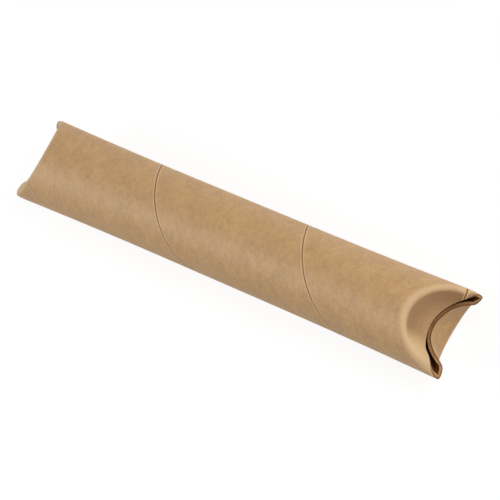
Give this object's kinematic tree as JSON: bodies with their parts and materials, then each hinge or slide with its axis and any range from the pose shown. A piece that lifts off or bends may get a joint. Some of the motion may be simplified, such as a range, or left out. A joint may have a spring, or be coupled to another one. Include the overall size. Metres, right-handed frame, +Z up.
{
  "type": "mailing tube",
  "caption": "Spirally wound kraft board mailing tube, its round ends crimped shut by curved flaps folded in from the wall between rounded tips.",
  "frame": {"origin": "under the middle of the tube, on the surface that it lies on", "axes": "+X along the tube, +Y along the line of the tips, +Z up"},
  "size_m": [0.383, 0.0574, 0.0542],
  "materials": {
    "kraft": "matt brown kraft board"
  },
  "bodies": {
    "root": {"tube": "kraft"}
  },
  "joints": []
}
